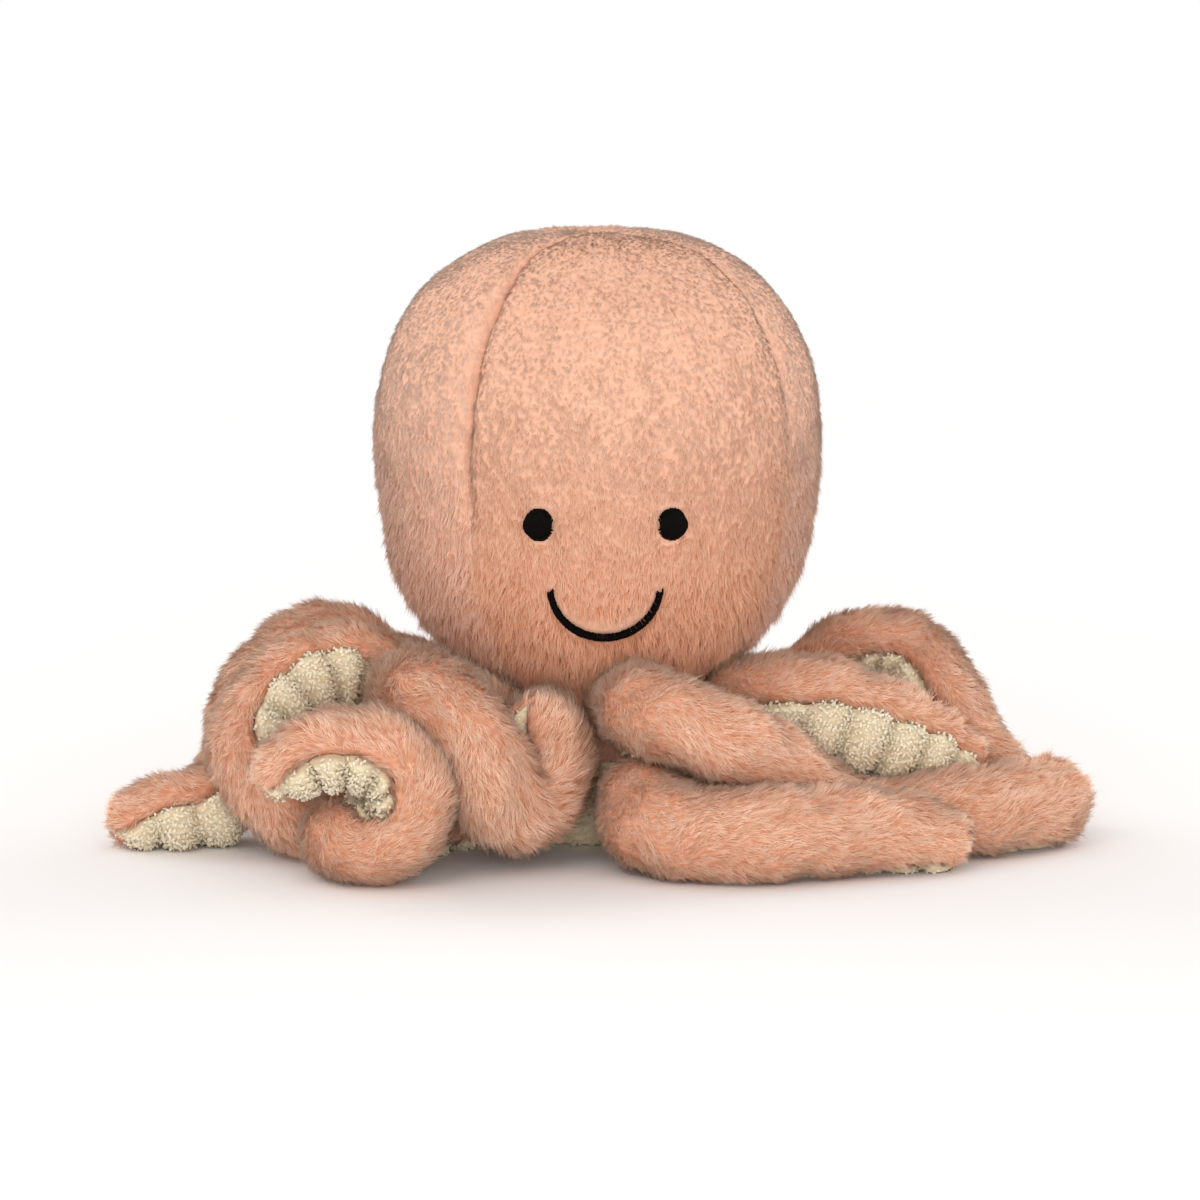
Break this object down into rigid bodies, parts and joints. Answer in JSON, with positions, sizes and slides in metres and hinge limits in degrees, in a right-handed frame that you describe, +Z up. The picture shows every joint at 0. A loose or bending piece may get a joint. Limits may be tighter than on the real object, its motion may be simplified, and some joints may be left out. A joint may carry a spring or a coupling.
{
  "type": "plush octopus",
  "caption": "Plush octopus with a rounded stuffed head, stitched face, weighted base and coiled arms with ribbed undersides, each hinged where it is sewn on.",
  "frame": {"origin": "on the floor, under the middle of the head", "axes": "+Z up, -Y the way the face looks, +X the toy's left, along the sprawl of its arms"},
  "size_m": [0.1738, 0.1029, 0.1095],
  "materials": {
    "peach_plush": "short pile plush",
    "cream_ribbed_terry": "looped terry, gathered in ribs",
    "white_stuffing": "loose fibre",
    "pouch_cloth": "plain weave",
    "black_satin_thread": "satin stitch"
  },
  "bodies": {
    "body": {"head_front_panel": "peach_plush", "head_left_panel": "peach_plush", "head_back_panel": "peach_plush", "head_right_panel": "peach_plush", "base_panel": "cream_ribbed_terry", "bean_pouch": "pouch_cloth", "head_stuffing": "white_stuffing", "left_eye": "black_satin_thread", "right_eye": "black_satin_thread", "mouth": "black_satin_thread"},
    "arm_1": {"arm_1_cover": "peach_plush", "arm_1_underside": "cream_ribbed_terry", "arm_1_stuffing": "white_stuffing"},
    "arm_2": {"arm_2_cover": "peach_plush", "arm_2_underside": "cream_ribbed_terry", "arm_2_stuffing": "white_stuffing"},
    "arm_3": {"arm_3_cover": "peach_plush", "arm_3_underside": "cream_ribbed_terry", "arm_3_stuffing": "white_stuffing"},
    "arm_4": {"arm_4_cover": "peach_plush", "arm_4_underside": "cream_ribbed_terry", "arm_4_stuffing": "white_stuffing"},
    "arm_5": {"arm_5_cover": "peach_plush", "arm_5_underside": "cream_ribbed_terry", "arm_5_stuffing": "white_stuffing"},
    "arm_6": {"arm_6_cover": "peach_plush", "arm_6_underside": "cream_ribbed_terry", "arm_6_stuffing": "white_stuffing"},
    "arm_7": {"arm_7_cover": "peach_plush", "arm_7_underside": "cream_ribbed_terry", "arm_7_stuffing": "white_stuffing"},
    "arm_8": {"arm_8_cover": "peach_plush", "arm_8_underside": "cream_ribbed_terry", "arm_8_stuffing": "white_stuffing"}
  },
  "joints": [
    {"name": "arm_1_bend", "type": "hinge", "parent": "body", "child": "arm_1", "pos_m": [0.00803, -0.02998, 0.00825], "axis": [0, 0, -1], "range_deg": [0, 20]},
    {"name": "arm_2_bend", "type": "hinge", "parent": "body", "child": "arm_2", "pos_m": [0.00564, -0.02902, 0.02655], "axis": [0.7647, -0.4066, -0.5], "range_deg": [0, 14]},
    {"name": "arm_3_bend", "type": "hinge", "parent": "body", "child": "arm_3", "pos_m": [0.02618, -0.01334, 0.0255], "axis": [-0.454, -0.891, 0], "range_deg": [0, 20]},
    {"name": "arm_4_bend", "type": "hinge", "parent": "body", "child": "arm_4", "pos_m": [0.02604, 0.01504, 0.01995], "axis": [0.5, -0.866, 0], "range_deg": [0, 20]},
    {"name": "arm_5_bend", "type": "hinge", "parent": "body", "child": "arm_5", "pos_m": [-0.02736, 0.01276, 0.02205], "axis": [0.4226, 0.9063, 0], "range_deg": [0, 20]},
    {"name": "arm_6_bend", "type": "hinge", "parent": "body", "child": "arm_6", "pos_m": [-0.0289, -0.00829, 0.02295], "axis": [-0.2756, 0.9613, 0], "range_deg": [0, 15]},
    {"name": "arm_7_bend", "type": "hinge", "parent": "body", "child": "arm_7", "pos_m": [-0.02273, -0.02046, 0.00855], "axis": [-0.7512, -0.4307, -0.5003], "range_deg": [0, 8]},
    {"name": "arm_8_bend", "type": "hinge", "parent": "body", "child": "arm_8", "pos_m": [-0.02077, -0.02151, 0.02295], "axis": [-0.7193, 0.6947, 0], "range_deg": [0, 12]}
  ]
}
